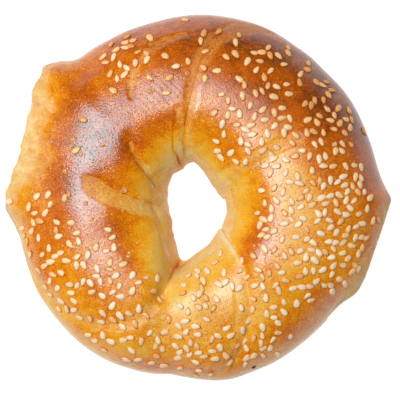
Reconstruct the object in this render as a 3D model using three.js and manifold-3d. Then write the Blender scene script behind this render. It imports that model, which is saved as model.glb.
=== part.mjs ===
// A hand-rolled sesame bagel, lying on its flat base: one ring of baked dough with its seeds fused on.
// Millimetres, +Z up. The origin is the middle of the bagel's box, on the table under it.
//
// The rope of dough runs round the hole. A point on its skin is given by two angles, in degrees:
//   around: where on the ring, from +X anticlockwise as seen from above
//   over:   where round the rope's section, 0 at the outer waist, 90 at the crest, 180 at the hole's
//           waist and 270 under the base

import * as THREE from "three";
import { ConvexGeometry } from "three/addons/geometries/ConvexGeometry.js";
import { mergeVertices } from "three/addons/utils/BufferGeometryUtils.js";
import Module from "manifold-3d";

// ---------------------------------------------------------------- driving dimensions

const RING_SHIFT = [-0.6, -1.8]; // the ring's own centre, from the middle of the bagel's box
const OUTER_RADIUS = 58.1; // the ring's plain outer radius, before its lumps
const HOLE_RADIUS = 8.6; // the hole's plain radius, before its lumps
const CREST_HEIGHT = 37; // the top of the rope, above the table
const CREST_ACROSS = 0.42; // how far across the rope its crest lies, from the hole outwards
const WAIST_SHARE = 0.42; // the widest line's height, as a share of the crest's
const TOP_SQUARENESS = 2.15; // exponents of the section: 2 is an ellipse, more is squarer
const BASE_SQUARENESS = 2.7;
const BASE_TRIM = 2.2; // how much of the round section the flat base takes off
const BASE_FADE = 9; // relief on the skin fades out below this height

const STEPS_AROUND = 80; // facets of the skin, round the ring and round the section
const STEPS_OVER = 26;
const CREST_CROWDING = 16; // degrees by which the facets are drawn up towards the crest

// Soft lumps of the outline and the crest: where round the ring, how wide in degrees, and how high.
const OUTER_LUMPS = [
  { at: 81, spread: 72, rise: 2.0 },
  { at: 261, spread: 11, rise: -2.3 },
  { at: 289, spread: 7, rise: -0.9 },
  { at: 311, spread: 18, rise: -2.1 },
];
const HOLE_LUMPS = [
  { at: 32, spread: 30, rise: -1.8 },
  { at: 93, spread: 17, rise: 2.8 },
  { at: 125, spread: 31, rise: 2.7 },
  { at: 257, spread: 9, rise: 3.0 },
  { at: 260, spread: 32, rise: 6.4 },
  { at: 312, spread: 60, rise: 1.9 },
];
const CREST_LUMPS = [
  { at: 25, spread: 30, rise: 1.2 },
  { at: 150, spread: 34, rise: 1.6 },
  { at: 222, spread: 16, rise: 0.6 },
  { at: 256, spread: 9, rise: -1.8 },
  { at: 284, spread: 24, rise: -2.6 },
];

// Where a neighbour on the tray touched the dough and was pulled away: a flat upright face between
// two torn lips. facing is the face's outward direction, and reach its distance from the ring's centre.
const KISSES = [
  {
    facing: 164,
    reach: 59.2,
    lips: [
      { at: 139, rise: 7.2 },
      { at: 180, rise: 4.5 },
    ],
  },
  {
    facing: 340,
    reach: 58.9,
    lips: [
      { at: 332, rise: 2.2 },
      { at: 360, rise: 4.8 },
    ],
  },
];
const LIP_FALLOFF = 5; // degrees past a lip in which the dough comes back to the plain outline
const LIP_TALL = 42; // degrees of over by which a swelling has faded above and below the waist
const KISS_SOFTNESS = 0.9; // how gently a kissed face turns into the round of the skin

// Folds left by twisting the rope. A fold starts at the hole's waist, at hole degrees round the ring,
// and has gone back by sweep degrees when it reaches the outer waist, slowly at first where power > 1.
// It shows from start to stop, as shares of its way over the rope.
const FOLDS = [
  { name: "north", hole: 112, sweep: 38, power: 1, depth: 1.2, half: 2.2, start: 0, stop: 0.95 },
  { name: "north_west", hole: 160, sweep: 52, power: 1, depth: 1.2, half: 2.0, start: 0, stop: 0.42 },
  { name: "west", hole: 189, sweep: 43, power: 1, depth: 1.2, half: 2.2, start: 0, stop: 0.46 },
  { name: "joint", hole: 254, sweep: 10, power: 1, depth: 3.4, half: 2.4, start: 0, stop: 0.42 },
  { name: "south_west", hole: 253, sweep: 80, power: 4, depth: 0.8, half: 2.8, start: 0.4, stop: 0.95 },
  { name: "south_east", hole: 319, sweep: 56, power: 1.8, depth: 1.6, half: 2.4, start: 0, stop: 1.05 },
  { name: "north_east", hole: 28, sweep: -8, power: 1, depth: 1.2, half: 2.2, start: 0.05, stop: 0.5 },
];
const FOLD_SOFTNESS = 0.1; // the share of its way in which a fold starts and stops
const ROPE_GIRTH_OVER = 66; // length of skin from the hole's waist over the crest to the outer waist

// The ledge inside the hole, where the lower dough swells past the skin above it.
const LEDGE = { over: 145, from: 128, to: 250, depth: 1.3, half: 2.0, softness: 14 };

// Slow unevenness of hand-rolled dough: waves round the ring and over the rope.
const SWELLS = [
  { around: 5, over: 1, phase: 40, rise: 0.35 },
  { around: 8, over: 2, phase: 200, rise: 0.28 },
  { around: 13, over: 3, phase: 310, rise: 0.18 },
];

// ---------------------------------------------------------------- sesame

const SEED_LENGTH = 2.95;
const SEED_WIDTH = 1.8;
const SEED_STANDS = 0.62; // how far a seed's back stands out of the skin
const SEED_ROOTED = 0.45; // its widest line lies this far under the skin
const SEED_GAP = 2.15; // least distance between the middles of two seeds
const SEED_SIZE_SPREAD = 0.12; // share by which a seed is larger or smaller
const SEED_TILT = 0.16; // radians by which a seed leans in the skin
const MOST_SEEDS = 316; // the largest come first, spread over every field
const DRAW_SEED = 20417;
const TRIES_PER_SEED = 30;

// Fields where the seeds were strewn: the middle in around and over, how far they reach each way in
// degrees, and how many seeds lie there.
const SEED_FIELDS = [
  { name: "east_outer", around: 6, over: 55, wide: 17, tall: 31, count: 44 },
  { name: "east_upper_inner", around: 28, over: 87, wide: 21, tall: 30, count: 27 },
  { name: "north_east_outer", around: 34, over: 48, wide: 19, tall: 33, count: 36 },
  { name: "north_east_inner", around: 61, over: 94, wide: 24, tall: 38, count: 26 },
  { name: "north_east_top", around: 63, over: 57, wide: 17, tall: 31, count: 24 },
  { name: "north", around: 89, over: 62, wide: 20, tall: 30, count: 11 },
  { name: "north_west", around: 116, over: 49, wide: 13, tall: 24, count: 22 },
  { name: "west_outer", around: -173, over: 53, wide: 21, tall: 34, count: 23 },
  { name: "south_west_upper", around: -149, over: 63, wide: 18, tall: 42, count: 42 },
  { name: "south_west", around: -124, over: 70, wide: 19, tall: 47, count: 33 },
  { name: "south_outer", around: -95, over: 58, wide: 20, tall: 37, count: 32 },
  { name: "south_inner", around: -83, over: 102, wide: 26, tall: 42, count: 25 },
  { name: "south_east", around: -66, over: 55, wide: 21, tall: 32, count: 30 },
  { name: "east_lower_inner", around: -43, over: 84, wide: 19, tall: 38, count: 27 },
  { name: "east_lower", around: -21, over: 58, wide: 19, tall: 28, count: 44 },
  { name: "east_inner", around: -8, over: 95, wide: 24, tall: 30, count: 31 },
  { name: "strays", around: 180, over: 75, wide: 180, tall: 60, count: 9 },
];

// ---------------------------------------------------------------- the skin

const radians = (degrees) => (degrees * Math.PI) / 180;

// The turn from angle b to angle a, in degrees from -180 to 180.
const turn = (a, b) => ((((a - b + 180) % 360) + 360) % 360) - 180;

const smoothStep = (x) => {
  const t = Math.min(1, Math.max(0, x));
  return t * t * (3 - 2 * t);
};

const lumpSum = (lumps, around) =>
  lumps.reduce((sum, lump) => sum + lump.rise * Math.exp(-((turn(around, lump.at) / lump.spread) ** 2)), 0);

// How far a kissed side swells out, before its flat face is pressed.
function kissSwell(kiss, around) {
  const [first, last] = kiss.lips;
  const along = turn(around, first.at) / (last.at - first.at);
  const past = Math.max(-along, along - 1, 0) * (last.at - first.at);
  const share = Math.min(1, Math.max(0, along));
  return (first.rise + (last.rise - first.rise) * share) * Math.exp(-((past / LIP_FALLOFF) ** 2));
}

// A groove's depth across it: deepest on its line, with broad shoulders.
const groove = (distance, half) => 1 / (1 + (distance / half) ** 2) ** 1.5;

function foldDepth(fold, around, over, radius) {
  const way = (180 - over) / 180;
  if (way < -0.3 || way > 1.3) return 0;
  const line = fold.hole - fold.sweep * Math.sign(way) * Math.abs(way) ** fold.power;
  const slope = (radians(fold.sweep) * fold.power * Math.abs(way) ** (fold.power - 1) * radius) / ROPE_GIRTH_OVER;
  const distance = (radians(turn(around, line)) * radius) / Math.hypot(1, slope);
  const shown =
    smoothStep((way - fold.start) / FOLD_SOFTNESS + 1) * smoothStep((fold.stop - way) / FOLD_SOFTNESS + 1);
  return fold.depth * groove(distance, fold.half) * shown;
}

function ledgeDepth(around, over) {
  const middle = (LEDGE.from + LEDGE.to) / 2;
  const reach = (LEDGE.to - LEDGE.from) / 2;
  const shown = smoothStep((reach - Math.abs(turn(around, middle))) / LEDGE.softness);
  const distance = radians(over - LEDGE.over) * (CREST_HEIGHT / 2);
  return LEDGE.depth * groove(distance, LEDGE.half) * shown;
}

// The point of the skin at around and over, from the ring's centre.
function skinPoint(around, over) {
  const outer = OUTER_RADIUS + lumpSum(OUTER_LUMPS, around);
  const inner = HOLE_RADIUS + lumpSum(HOLE_LUMPS, around);
  const crest = CREST_HEIGHT + lumpSum(CREST_LUMPS, around);
  const middle = inner + CREST_ACROSS * (outer - inner);
  const waist = WAIST_SHARE * crest;

  // The round section: half a squared ellipse above the waist, and a squarer one below it.
  const cos = Math.cos(radians(over));
  const sin = Math.sin(radians(over));
  const wide = cos > 0 ? outer - middle : middle - inner;
  const tall = sin > 0 ? crest - waist : waist + BASE_TRIM;
  const square = sin > 0 ? TOP_SQUARENESS : BASE_SQUARENESS;
  const size = (Math.abs(cos) ** square + Math.abs(sin) ** square) ** (-1 / square);
  let radius = middle + wide * cos * size;
  let height = waist + tall * sin * size;

  // Relief, along the section's outward normal.
  const overTurn = turn(over, 0);
  const swell = KISSES.reduce((sum, kiss) => sum + kissSwell(kiss, around), 0);
  let relief = swell * Math.exp(-((overTurn / LIP_TALL) ** 2));
  for (const s of SWELLS) relief += s.rise * Math.sin(radians(s.around * around + s.over * over + s.phase));
  const foldOver = over > 270 ? over - 360 : over;
  for (const fold of FOLDS) relief -= foldDepth(fold, around, foldOver, radius);
  relief -= ledgeDepth(around, over);
  relief *= smoothStep(height / BASE_FADE);
  const normal = Math.hypot(cos / wide, sin / tall);
  radius += (relief * cos) / wide / normal;
  height += (relief * sin) / tall / normal;

  // The kissed faces are pressed flat.
  let x = radius * Math.cos(radians(around));
  let y = radius * Math.sin(radians(around));
  for (const kiss of KISSES) {
    const nx = Math.cos(radians(kiss.facing));
    const ny = Math.sin(radians(kiss.facing));
    const beyond = x * nx + y * ny - kiss.reach;
    const press = (beyond + Math.hypot(beyond, KISS_SOFTNESS)) / 2;
    x -= press * nx;
    y -= press * ny;
  }
  return new THREE.Vector3(x + RING_SHIFT[0], y + RING_SHIFT[1], Math.max(0, height));
}

// A torus whose vertices are moved onto the skin.
function doughGeometry() {
  const torus = new THREE.TorusGeometry(2, 1, STEPS_OVER, STEPS_AROUND);
  torus.deleteAttribute("normal");
  torus.deleteAttribute("uv");
  const ring = mergeVertices(torus, 1e-4);
  const place = ring.getAttribute("position");
  for (let i = 0; i < place.count; i++) {
    const [x, y, z] = [place.getX(i), place.getY(i), place.getZ(i)];
    const around = THREE.MathUtils.radToDeg(Math.atan2(y, x));
    const tube = Math.atan2(z, Math.hypot(x, y) - 2);
    const over = THREE.MathUtils.radToDeg(tube) + CREST_CROWDING * Math.cos(tube);
    const point = skinPoint((around + 360) % 360, (over + 360) % 360);
    place.setXYZ(i, point.x, point.y, point.z);
  }
  return ring;
}

// ---------------------------------------------------------------- the seeds

// The next draw from 0 to 1: a small generator, so that every build strews the seeds alike.
function makeDraw(start) {
  let state = start >>> 0;
  return () => {
    state = (state + 0x6d2b79f5) >>> 0;
    let t = Math.imul(state ^ (state >>> 15), state | 1);
    t = (t + Math.imul(t ^ (t >>> 7), t | 61)) ^ t;
    return ((t ^ (t >>> 14)) >>> 0) / 4294967296;
  };
}

// Throws each field's seeds in turn, and keeps those that land clear of the ones that lie there.
function strewSeeds() {
  const draw = makeDraw(DRAW_SEED);
  const seeds = [];
  for (const field of SEED_FIELDS) {
    let landed = 0;
    for (let thrown = 0; landed < field.count && thrown < field.count * TRIES_PER_SEED; thrown++) {
      const around = field.around + field.wide * (draw() + draw() - 1);
      const over = field.over + field.tall * (draw() + draw() - 1);
      const spin = 2 * Math.PI * draw();
      const size = 1 + SEED_SIZE_SPREAD * (2 * draw() - 1);
      const leanAlong = SEED_TILT * (2 * draw() - 1);
      const leanAcross = SEED_TILT * (2 * draw() - 1);
      const point = skinPoint((around + 360) % 360, (over + 360) % 360);
      if (seeds.some((seed) => seed.point.distanceTo(point) < SEED_GAP)) continue;
      seeds.push({ around, over, spin, size, leanAlong, leanAcross, point });
      landed++;
    }
  }
  return seeds;
}

// The largest seeds of every field, up to the number that the solid carries.
function largestSeeds(seeds) {
  const bySize = [...seeds].sort((a, b) => b.size - a.size);
  return bySize.slice(0, MOST_SEEDS);
}

// A faceted teardrop, pointed at one end, with its length along Y and its back along Z: a five-sided
// outline under the skin, drawn in to one peak.
function seedGeometry() {
  const flare = (SEED_STANDS + SEED_ROOTED) / SEED_STANDS;
  const outline = [
    [0, -0.5],
    [0.5, 0.05],
    [0.28, 0.45],
    [-0.28, 0.45],
    [-0.5, 0.05],
  ].map(([x, y]) => new THREE.Vector3(x * SEED_WIDTH * flare, y * SEED_LENGTH * flare, -SEED_ROOTED));
  const peak = new THREE.Vector3(0, 0, SEED_STANDS);
  const hull = new ConvexGeometry([...outline, peak]);
  hull.deleteAttribute("normal");
  return mergeVertices(hull, 1e-4);
}

// Lays a seed flat on the skin where it landed, turned and leaning as it was drawn.
function seedMatrix(seed) {
  const step = 0.6;
  const at = (da, dov) => skinPoint((seed.around + da + 360) % 360, (seed.over + dov + 360) % 360);
  const along = at(step, 0).sub(at(-step, 0)).normalize();
  const across = at(0, step * 2).sub(at(0, -step * 2)).normalize();
  const normal = along.clone().cross(across).normalize();
  across.crossVectors(normal, along);
  const lie = new THREE.Matrix4().makeBasis(along, across, normal);
  return new THREE.Matrix4()
    .makeTranslation(seed.point.x, seed.point.y, seed.point.z)
    .multiply(lie)
    .multiply(new THREE.Matrix4().makeRotationZ(seed.spin))
    .multiply(new THREE.Matrix4().makeRotationX(seed.leanAlong))
    .multiply(new THREE.Matrix4().makeRotationY(seed.leanAcross))
    .multiply(new THREE.Matrix4().makeScale(seed.size, seed.size, seed.size));
}

// ---------------------------------------------------------------- one solid

const wasm = await Module();
wasm.setup();

const toSolid = (geometry) =>
  new wasm.Manifold(
    new wasm.Mesh({
      numProp: 3,
      vertProperties: new Float32Array(geometry.getAttribute("position").array),
      triVerts: new Uint32Array(geometry.index.array),
    }),
  );

function toGeometry(solid) {
  const mesh = solid.getMesh();
  const geometry = new THREE.BufferGeometry();
  geometry.setAttribute("position", new THREE.BufferAttribute(mesh.vertProperties, 3));
  geometry.setIndex(new THREE.BufferAttribute(mesh.triVerts, 1));
  geometry.computeVertexNormals();
  return geometry;
}

function bagelGeometry() {
  let bagel = toSolid(doughGeometry());
  const seed = seedGeometry();
  for (const strewn of largestSeeds(strewSeeds())) {
    bagel = bagel.add(toSolid(seed.clone().applyMatrix4(seedMatrix(strewn))));
  }
  // A scrap that the joining left loose is dropped.
  const [whole] = bagel.decompose().sort((a, b) => b.volume() - a.volume());
  return toGeometry(whole);
}

const crust = new THREE.MeshStandardMaterial({ color: 0xc9782c, roughness: 0.4, metalness: 0 });
const bagel = new THREE.Mesh(bagelGeometry(), crust);
bagel.name = "bagel";

const group = new THREE.Group();
group.add(bagel);

export default group;
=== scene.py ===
# A hand-rolled sesame bagel: the glazed dough with its folds, torn sides and fine relief, every
# sesame seed as a form of its own, popped blisters and rough bits of glaze, and a charred speck.

import math

import bpy
import numpy as np
from mathutils.kdtree import KDTree
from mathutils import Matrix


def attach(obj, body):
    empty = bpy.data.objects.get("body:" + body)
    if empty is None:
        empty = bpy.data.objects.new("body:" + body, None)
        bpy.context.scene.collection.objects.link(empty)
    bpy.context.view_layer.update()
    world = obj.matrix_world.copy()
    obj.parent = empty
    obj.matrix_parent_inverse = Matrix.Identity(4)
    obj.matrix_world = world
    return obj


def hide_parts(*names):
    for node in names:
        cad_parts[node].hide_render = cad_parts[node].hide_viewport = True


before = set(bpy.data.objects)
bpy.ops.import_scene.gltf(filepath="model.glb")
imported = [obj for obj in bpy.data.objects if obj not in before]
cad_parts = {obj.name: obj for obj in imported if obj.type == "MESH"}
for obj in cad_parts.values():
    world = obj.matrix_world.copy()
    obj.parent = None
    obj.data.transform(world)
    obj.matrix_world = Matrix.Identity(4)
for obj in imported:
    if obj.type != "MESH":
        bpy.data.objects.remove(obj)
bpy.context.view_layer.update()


def table(columns, **rows):
    """Rows of sizes, each size by its column's name."""
    return {name: dict(zip(columns.split(), row, strict=True)) for name, row in rows.items()}


# ---- the skin's sizes, in millimetres
#
# The rope of dough runs round the hole. A point on its skin is given by two angles, in degrees:
#   around: where on the ring, from +X anticlockwise as seen from above
#   over:   where round the rope's section, 0 at the outer waist, 90 at the crest, 180 at the hole's
#           waist and 270 under the base

MM = 0.001

RING_SHIFT = (-0.6, -1.8)  # the ring's own centre, from the middle of the bagel's box
OUTER_RADIUS = 58.1
HOLE_RADIUS = 8.6
CREST_HEIGHT = 37
CREST_ACROSS = 0.42  # how far across the rope its crest lies, from the hole outwards
WAIST_SHARE = 0.42  # the widest line's height, as a share of the crest's
TOP_SQUARENESS = 2.15  # exponents of the section: 2 is an ellipse, more is squarer
BASE_SQUARENESS = 2.7
BASE_TRIM = 2.2  # how much of the round section the flat base takes off
BASE_FADE = 9  # relief on the skin fades out below this height

# Soft lumps of the outline and the crest: where round the ring, how wide in degrees, and how high.
OUTER_LUMPS = [(81, 72, 2.0), (261, 11, -2.3), (289, 7, -0.9), (311, 18, -2.1)]
HOLE_LUMPS = [(32, 30, -1.8), (93, 17, 2.8), (125, 31, 2.7), (257, 9, 3.0), (260, 32, 6.4), (312, 60, 1.9)]
CREST_LUMPS = [(25, 30, 1.2), (150, 34, 1.6), (222, 16, 0.6), (256, 9, -1.8), (284, 24, -2.6)]

# Sides pressed flat by a neighbour on the tray, each between two torn lips: (at, rise).
KISSES = [
    dict(facing=164, reach=59.2, lips=[(139, 7.2), (180, 4.5)]),
    dict(facing=340, reach=58.9, lips=[(332, 2.2), (360, 4.8)]),
]
LIP_FALLOFF = 5  # degrees over which a swollen side falls off past its lips
LIP_TALL = 42  # and over the skin
KISS_SOFTNESS = 0.9  # how softly a flat side meets the round skin

# Folds left by twisting the rope, from the hole's waist over the crest to the outer waist. Each
# starts at an angle round the hole, sweeps back round the ring, and bends by its power. The fine
# skin keeps a share of each depth, and bridges the rest.
FOLDS = table(
    "hole sweep power depth half start stop kept",
    north=(112, 38, 1, 1.2, 2.2, 0, 0.95, 0.0),
    north_west=(160, 52, 1, 1.2, 2.0, 0, 0.42, 1.0),
    west=(189, 43, 1, 1.2, 2.2, 0, 0.46, 1.0),
    joint=(254, 10, 1, 3.4, 2.4, 0, 0.42, 1.0),
    south_west=(253, 80, 4, 0.8, 2.8, 0.4, 0.95, 1.0),
    south_east=(319, 56, 1.8, 1.6, 2.4, 0, 1.05, 0.5),
    north_east=(28, -8, 1, 1.2, 2.2, 0.05, 0.5, 0.55),
)
FOLD_SOFTNESS = 0.1  # the share of the way over which a fold's ends fade
FOLD_RANGE = 0.8  # the share of the way from the crest past which no fold shows
ROPE_GIRTH_OVER = 66  # how far it is over the rope, from waist to waist

# The ledge inside the hole, and the broad swells: (waves around, waves over, phase, rise).
LEDGE = dict(over=145, start=128, stop=250, depth=1.3, half=2.0, softness=14, kept=0.54)
SWELLS = [(5, 1, 40, 0.35), (8, 2, 200, 0.28), (13, 3, 310, 0.18)]

# Where the crest is evened out between its lumps, and the share of the swells that this takes back.
EVENING_LUMPS = [(88, 28, 1.0), (345, 25, 0.6), (192, 22, 0.6)]
EVENING_TALL = 50
EVENED_SWELLS = 0.7

# Where the fine skin lies lower or higher: (around, over, spread around, spread over, rise).
SHOULDERS = [
    (347, 128, 48, 18, -1.0), (212, 111, 22, 14, -1.0), (60, 120, 24, 16, -0.7), (116, 112, 17, 14, -0.5),
    (140, 38, 12, 13, -1.1), (130, 54, 10, 16, 0.8), (154, 50, 16, 13, -0.5), (180, 53, 21, 14, -0.9),
    (62, 72, 16, 12, 0.2), (350, 70, 30, 14, 0.35), (131, 27, 10, 12, 1.0),
]
HOLE_FITS = [
    (226, 180, 26, 26, 0.8), (146, 180, 9, 26, 1.0), (40, 180, 16, 26, -0.5), (282, 180, 9, 26, 0.5),
    (314, 180, 8, 26, 0.5), (12, 180, 5, 26, 0.7), (176, 180, 30, 26, 0.5), (232, 180, 5, 26, 0.6),
    (346, 180, 16, 26, -0.4), (126, 180, 7, 26, -0.5), (76, 180, 9, 26, -0.4), (104, 180, 4, 26, -0.4),
    (30, 180, 9, 26, -0.3),
]
RIM_FITS = [
    (212, 0, 26, 30, -0.6), (134, 4, 4, 22, 1.3), (7.5, 4, 4, 22, 0.5), (298, 0, 12, 30, -0.4),
    (336, 0, 8, 24, 0.4), (275, 20, 12, 30, -0.12), (150, 0, 9, 26, -0.5), (118, 0, 5, 26, -0.5),
    (202, 0, 5, 26, -0.4), (248, 0, 5, 26, -0.4), (188, 0, 3, 26, 0.5), (52, 0, 5, 26, 0.5),
]

# ---- the seeds' sizes, in millimetres

SEED_SIZES = {"Length": 3.0, "Width": 1.85, "Thickness": 0.76}
SEED_NARROWING = 0.27  # how much narrower a seed gets from its middle to its point
SEED_POINT = 0.08  # its ends reach this share past its half length, with the point drawn out
SEED_LIFT = 0.06  # a seed's middle lies this far over the skin
SEED_GAP = 2.15  # the least distance between the middles of two seeds
SEED_SIZE_SPREAD = 0.12
SEED_TILT = 0.16  # the most that a seed leans, in radians
DRAW_SEED = 20417
TRIES_PER_SEED = 30

# Where the seeds were strewn: (around, over, reach in around, reach in over, how many).
SEED_FIELDS = dict(
    east_outer=(6, 55, 17, 31, 44),
    east_upper_inner=(28, 87, 21, 30, 27),
    north_east_outer=(34, 48, 19, 33, 36),
    north_east_inner=(61, 94, 24, 38, 26),
    north_east_top=(63, 57, 17, 31, 24),
    north=(89, 62, 20, 30, 11),
    north_west=(116, 49, 13, 24, 22),
    west_outer=(-173, 53, 21, 34, 23),
    south_west_upper=(-149, 63, 18, 42, 42),
    south_west=(-124, 70, 19, 47, 33),
    south_outer=(-95, 58, 20, 37, 32),
    south_inner=(-83, 102, 26, 42, 25),
    south_east=(-66, 55, 21, 32, 30),
    east_lower_inner=(-43, 84, 19, 38, 27),
    east_lower=(-21, 58, 19, 28, 44),
    east_inner=(-8, 95, 24, 30, 31),
    strays=(180, 75, 180, 60, 9),
)

# ---- the looks' own sizes

STEPS_AROUND = 512  # facets of the fine skin
STEPS_OVER = 190
CREST_CROWDING = 14  # degrees by which the facets are drawn up towards the crest
BASE_STILL = 3  # fine relief fades out below this height
BASE_LEVEL = 0.15  # and what is lower than this lies on the table
BARE_SUNK = 0.25  # how far bare dough lies under the glaze's face
BARE_SLOPE = 1.2  # and how wide the step between them is
SEED_REACH = 1.7  # the crust is dented and darker this near a seed: partly browner glaze, partly painted contact shade
SEED_DENT = 0.05

# The relief that follows the skin, and how many pimple heights the skin sinks, so that the pimples
# don't stand proud of it.
RELIEF_SIZES = {"Pimple Size": 1.3, "Pimple Height": 0.06, "Crumb Size": 2.0, "Crumb Depth": 1.1}
PIMPLES_SUNK = 1.7

# Bare strips that the twist left without glaze. Each follows a line over the rope as a fold does,
# is wide[0] millimetres wide at its start and wide[1] at its end, and may lie beside its line.
STRIPS = table(
    "hole sweep power wide beside start stop pale",
    north=(96, 38, 3.5, (2.6, 7.4), 0, 0.28, 0.92, 0.55),
    north_flow=(125, 194, 7, (1.8, 3.0), 0, 0.57, 0.77, 0.6),
    north_pleat=(101, 0, 1, (1.2, 2.0), 0, 0.1, 0.48, 0.5),
    north_pinch=(98, 13, 1, (1.2, 1.6), 0, 0.2, 0.48, 0.35),
    crack_lip=(110, 0, 1, (2.4, 0.8), -0.4, 0.0, 0.32, 0.8),
    north_west=(160, 52, 1, (4.4, 0.9), 0.2, 0.0, 0.44, 0.85),
    west=(200, 55, 1, (3.6, 6.2), 0, -0.1, 0.57, 1.0),
    north_east=(48, 25, 1, (5.2, 4.2), 0, -0.1, 0.62, 0.5),
    south_east=(319, 56, 1.8, (4.6, 5.4), -2.5, -0.1, 1.05, 0.4),
    # Paler than bare dough alone: partly bare dough, partly a painted highlight on the lip.
    south_east_lip=(319, 56, 1.8, (3.0, 1.0), -1.6, -0.1, 0.4, 0.9),
    south_west=(253, 80, 4, (3.4, 5.4), 0, 0.5, 1.0, 0.5),
)

# Sharp creases, finer than the folds: each follows its line, and painted shade darkens its walls by its
# last column. One with a depth below 0 stands up as a thin lip, and is painted paler, as a highlight.
CREASES = table(
    "hole sweep power depth half start stop dark",
    north=(112, 38, 1, 0.4, 0.6, -0.1, 0.95, 0.03),
    joint=(254, 10, 1, 0.9, 0.25, -0.1, 0.34, 0.45),
    crack=(111.5, 0, 1, 0.9, 0.35, 0.08, 0.3, 0.6),
    pleat_left=(127, 56, 1, 0.35, 0.5, 0.2, 0.5, 0.08),
    pleat_middle=(105, 23, 1, 0.5, 0.5, 0.15, 0.5, 0.12),
    north_west=(166, 60, 1, 0.3, 0.4, 0.02, 0.44, 0.12),
    west=(189, 43, 1, 0.3, 0.4, 0.02, 0.5, 0.12),
    # Stands up as a lip that is painted paler, as a highlight.
    south_east_lip=(311, 32, 2, -0.5, 0.8, -0.2, 0.46, -0.3),
    south_east=(315.5, 32, 2, 0.5, 0.5, -0.2, 0.46, 0.06),
)
CREASE_ENDS = (0.06, 0.12)  # the shares of the way over which a crease's ends fade
CREASE_SHADE = 1.1  # how wide the painted shade on its walls is, against its half width

# Fine pleats where the north fold gathers the skin over the crest.
PLEATS = dict(place=(105, 87, 10, 16), rise=0.12, spacing=1.7, sway=1.3, sway_over=9)

# Popped blisters of glaze: (around, over, size).
BLISTERS = [
    (152, 65, 1.0), (156, 65, 1.1), (157, 73, 0.8), (148, 83, 0.8), (158, 88, 0.9), (169, 111, 1.2),
    (166, 66, 1.0), (176, 70, 1.0), (180, 81, 0.9), (157, 51, 0.9), (112, 78, 1.2), (110, 68, 1.1),
    (94, 73, 1.0), (203, 76, 1.0), (217, 93, 1.0), (189, 84, 0.7),
]
BLISTER_SIZES = {"Ring": 0.75, "Wall": 0.22}
BLISTER_SHAPE = (1, 0.8, 1)  # shares of its width, length and thickness

# Patches of rough bits of glaze: (around, over, spread around, spread over, how many).
CRUMB_PATCHES = dict(
    east=(326, 98, 2.6, 8, 34),
    west=(201, 72, 2.4, 5, 16),
    south_west=(216, 93, 2.0, 5, 10),
    north_west=(113, 72, 2.2, 5, 16),
)
CHARRED_CRUMB = (289.5, 24, 1.5)
CRUMB_SIZES = {"Crumb": 0.5}

# The least and the most of a crumb's size, and of the width, length and thickness of crumbs and
# seeds, as shares.
CRUMB_SPREAD = (0.35, 0.8)
CRUMB_SHAPES = ([0.7, 0.8, 0.5], [1.2, 1.6, 0.8])
SEED_SHAPES = ([0.9, 0.94, 0.9], [1.08, 1.06, 1.1])

# How toasted a seed is: the least, what chance adds, and what the crust's brown adds, which counts
# from TOAST_BROWN_FROM, and up to TOAST_BROWN_REACH past it.
TOAST_LEAST = 0.16
TOAST_BY_CHANCE = 0.5
TOAST_CURVE = (1.3, 2.6)  # a beta curve, which keeps most seeds pale
TOAST_BY_BROWN = 0.9
TOAST_BROWN_FROM = 0.6
TOAST_BROWN_REACH = 0.3

# The pale torn sides are ovals with blunt ends, from start to stop round the ring. Their reach over
# the skin is the lowest, the middle and the highest.
TORN_SIDES = table(
    "start stop reach rough",
    west=(134, 185, (-75, -10, 50), 1.0),
    east=(318, 365, (-75, -10, 34), 0.3),
)
TORN_BLUNTNESS = 2.6
TORN_EDGE = 3  # how far in from its edge a torn side's crumb is at its roughest
TORN_PALE = (0.35, 0.65, 6)  # how pale it is at its edge, how much paler inside, and how far in

# How the edge of a torn side wanders: (waves around, waves over, phase, reach).
RAGGED_WAVES = [(9, 0, 40, 1.5), (17, 3, 0, 1.1), (31, -5, 80, 0.8), (53, 7, 10, 0.5)]

# How the torn sides bulge and sink: (around, spread, rise).
TORN_WAVES = [
    (145.5, 4, 1.2), (141, 1, -0.2), (149, 1, -0.3), (153, 1.1, 0.4), (157, 1.0, -0.3), (165, 5.5, -0.8),
    (162, 0.9, 0.3), (169, 1.2, 0.3), (173, 1.0, -0.3), (176, 1.4, 0.5),
]

# Dull patches of the glaze: (around, over, spread around, spread over, how dull).
DULL_PATCHES = [
    (153, 55, 9, 9, 0.5), (180, 52, 14, 9, 0.5), (300, 70, 16, 20, 0.5), (212, 98, 14, 9, 0.4),
    (262, 74, 28, 30, 0.8), (54, 84, 20, 14, 0.4), (106, 80, 12, 14, 0.3), (350, 70, 34, 28, 0.7),
]

# Worn patches of the glaze: (around, over, spread around, spread over, how worn). The dough shows
# through where the glaze is most ragged, as if it lay this many millimetres inside bare dough.
WORN_PATCHES = [
    (262, 72, 34, 30, 1.0), (302, 74, 22, 30, 0.9), (224, 60, 18, 24, 0.8), (0, 66, 34, 26, 0.7),
    (60, 78, 24, 16, 0.6),
]
WORN = dict(unworn=-1.6, worn=-0.2, pale=0.6)

# Bare dough inside the hole and under the base, between these angles over the skin.
BARE_BANDS = table("start stop pale", hole=(148, 215, 0.75), base=(215, 318, 0.9))

# How brown the crust is, 0 for pale dough and 1 for the deepest brown, by over.
BROWN_OVER = [-180, -130, -90, -40, -10, 20, 70, 100, 112, 122, 132, 144, 156, 180]
BROWN = [0.36, 0.36, 0.5, 0.46, 0.56, 0.6, 0.62, 0.67, 0.61, 0.48, 0.36, 0.29, 0.28, 0.34]
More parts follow.
